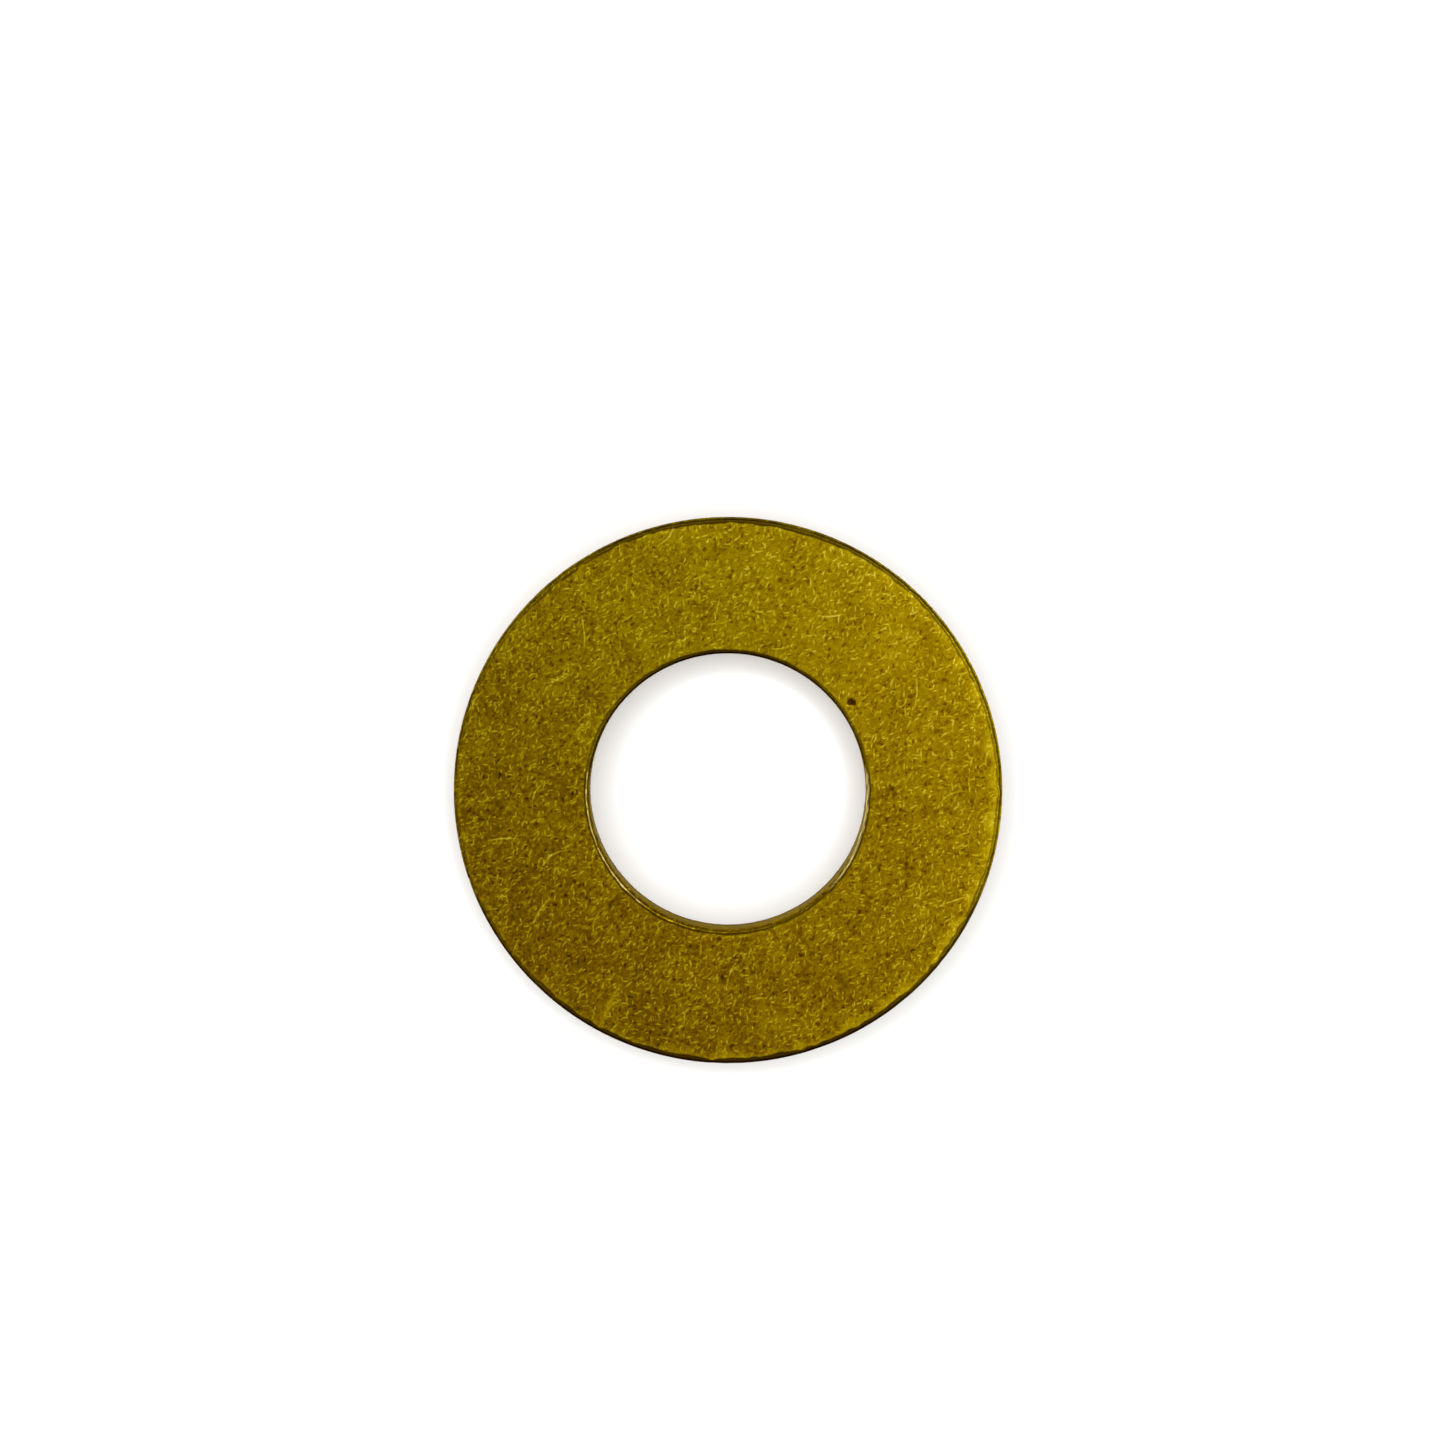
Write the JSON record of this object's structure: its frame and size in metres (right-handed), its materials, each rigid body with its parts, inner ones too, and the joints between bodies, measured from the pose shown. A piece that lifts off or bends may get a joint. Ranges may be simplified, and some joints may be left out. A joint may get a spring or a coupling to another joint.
{
  "type": "flat washer",
  "caption": "Round flat washer of sheet brass with a plain clearance hole and softly rounded edges on one face.",
  "frame": {"origin": "centre of the bore at the lower bearing face, the face without the rolled edges", "axes": "+Z along the bore, towards the face with the rounded, rolled edges"},
  "size_m": [0.0208, 0.0208, 0.002],
  "materials": {
    "brass": "tumbled, aged to olive gold"
  },
  "bodies": {
    "root": {"washer": "brass"}
  },
  "joints": []
}
